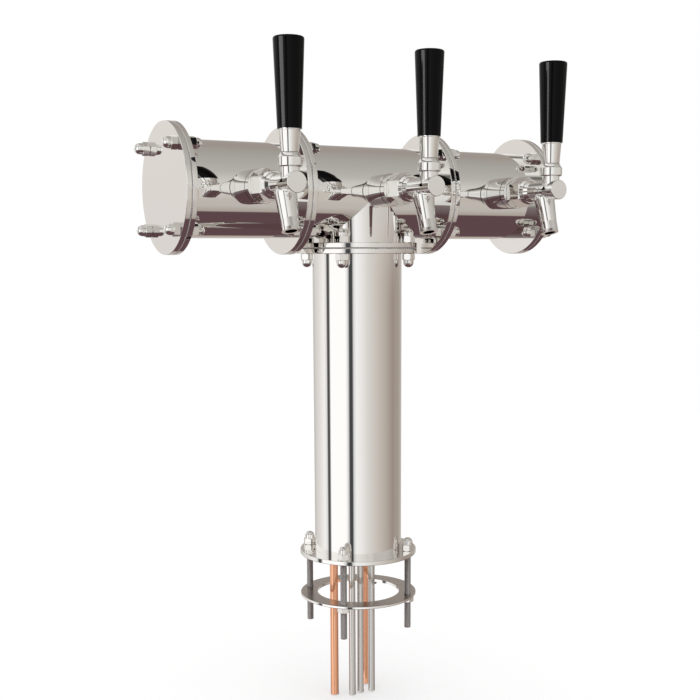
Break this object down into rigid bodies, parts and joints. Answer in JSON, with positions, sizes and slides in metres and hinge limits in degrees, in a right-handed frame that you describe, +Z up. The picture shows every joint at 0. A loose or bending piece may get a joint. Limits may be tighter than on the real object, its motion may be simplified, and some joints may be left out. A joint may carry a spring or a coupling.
{
  "type": "beer tower dispenser",
  "caption": "T-shaped beer tower of polished pipe with bolted flanges, taps with levers, and a countertop clamp",
  "frame": {"origin": "centre of the base flange's underside, on the countertop", "axes": "+Z up the column, X along the horizontal pipe, the taps point towards -Y"},
  "size_m": [0.4882, 0.2346, 0.7238],
  "materials": {
    "polished_steel": "mirror-polished stainless steel and chrome plate",
    "drawn_steel_tube": "drawn stainless tube, satin",
    "plain_steel_rod": "dull rolled thread",
    "plain_steel_plate": "satin stainless plate",
    "copper_tube": "drawn copper, semi-bright",
    "black_rubber": "moulded black rubber",
    "pale_fibre": "pale grey fibre gasket",
    "black_plastic": "glossy black moulded plastic"
  },
  "bodies": {
    "tower": {"column_tube": "polished_steel", "base_flange": "polished_steel", "column_top_flange": "polished_steel", "tee_body": "polished_steel", "tee_bottom_flange": "polished_steel", "tee_left_flange": "polished_steel", "tee_right_flange": "polished_steel", "left_pipe": "polished_steel", "right_pipe": "polished_steel", "left_inner_flange": "polished_steel", "right_inner_flange": "polished_steel", "left_outer_flange": "polished_steel", "right_outer_flange": "polished_steel", "left_end_cover": "polished_steel", "right_end_cover": "polished_steel", "flange_gaskets": "pale_fibre", "joint_studs": "polished_steel", "joint_dome_nuts": "polished_steel", "mounting_rods": "plain_steel_rod", "base_dome_nuts": "polished_steel", "shank_pads": "black_rubber", "shank_locknuts": "polished_steel", "coupling_washers": "black_rubber", "ball_washers": "black_rubber", "left_beer_line": "drawn_steel_tube", "middle_beer_line": "drawn_steel_tube", "right_beer_line": "drawn_steel_tube", "cooling_line": "copper_tube", "left_shank": "polished_steel", "left_shank_sleeve": "polished_steel", "left_coupling_nut": "polished_steel", "left_faucet_body": "polished_steel", "left_bonnet": "polished_steel", "middle_shank": "polished_steel", "middle_shank_sleeve": "polished_steel", "middle_coupling_nut": "polished_steel", "middle_faucet_body": "polished_steel", "middle_bonnet": "polished_steel", "right_shank": "polished_steel", "right_shank_sleeve": "polished_steel", "right_coupling_nut": "polished_steel", "right_faucet_body": "polished_steel", "right_bonnet": "polished_steel"},
    "clamp": {"clamp_ring": "plain_steel_plate", "clamp_nuts": "polished_steel"},
    "left_handle": {"left_lever": "polished_steel", "left_ferrule": "polished_steel", "left_grip": "black_plastic"},
    "left_valve": {"left_valve_shaft": "polished_steel", "left_valve_seal": "black_rubber"},
    "middle_handle": {"middle_lever": "polished_steel", "middle_ferrule": "polished_steel", "middle_grip": "black_plastic"},
    "middle_valve": {"middle_valve_shaft": "polished_steel", "middle_valve_seal": "black_rubber"},
    "right_handle": {"right_lever": "polished_steel", "right_ferrule": "polished_steel", "right_grip": "black_plastic"},
    "right_valve": {"right_valve_shaft": "polished_steel", "right_valve_seal": "black_rubber"}
  },
  "joints": [
    {"name": "clamp_slide", "type": "slide", "parent": "tower", "child": "clamp", "axis": [0, 0, 1], "range_m": [-0.03, 0.035]},
    {"name": "left_lever_tilt", "type": "hinge", "parent": "tower", "child": "left_handle", "pos_m": [-0.156, -0.1514, 0.4372], "axis": [1, 0, 0], "range_deg": [0, 22]},
    {"name": "left_valve_slide", "type": "slide", "parent": "tower", "child": "left_valve", "axis": [0, 1, 0], "range_m": [0, 0.0065]},
    {"name": "middle_lever_tilt", "type": "hinge", "parent": "tower", "child": "middle_handle", "pos_m": [0, -0.1514, 0.4372], "axis": [1, 0, 0], "range_deg": [0, 22]},
    {"name": "middle_valve_slide", "type": "slide", "parent": "tower", "child": "middle_valve", "axis": [0, 1, 0], "range_m": [0, 0.0065]},
    {"name": "right_lever_tilt", "type": "hinge", "parent": "tower", "child": "right_handle", "pos_m": [0.156, -0.1514, 0.4372], "axis": [1, 0, 0], "range_deg": [0, 22]},
    {"name": "right_valve_slide", "type": "slide", "parent": "tower", "child": "right_valve", "axis": [0, 1, 0], "range_m": [0, 0.0065]}
  ],
  "couplings": [
    {"joint": "left_valve_slide", "follows": "left_lever_tilt", "m_per_rad": 0.016585},
    {"joint": "middle_valve_slide", "follows": "middle_lever_tilt", "m_per_rad": 0.016585},
    {"joint": "right_valve_slide", "follows": "right_lever_tilt", "m_per_rad": 0.016585}
  ]
}
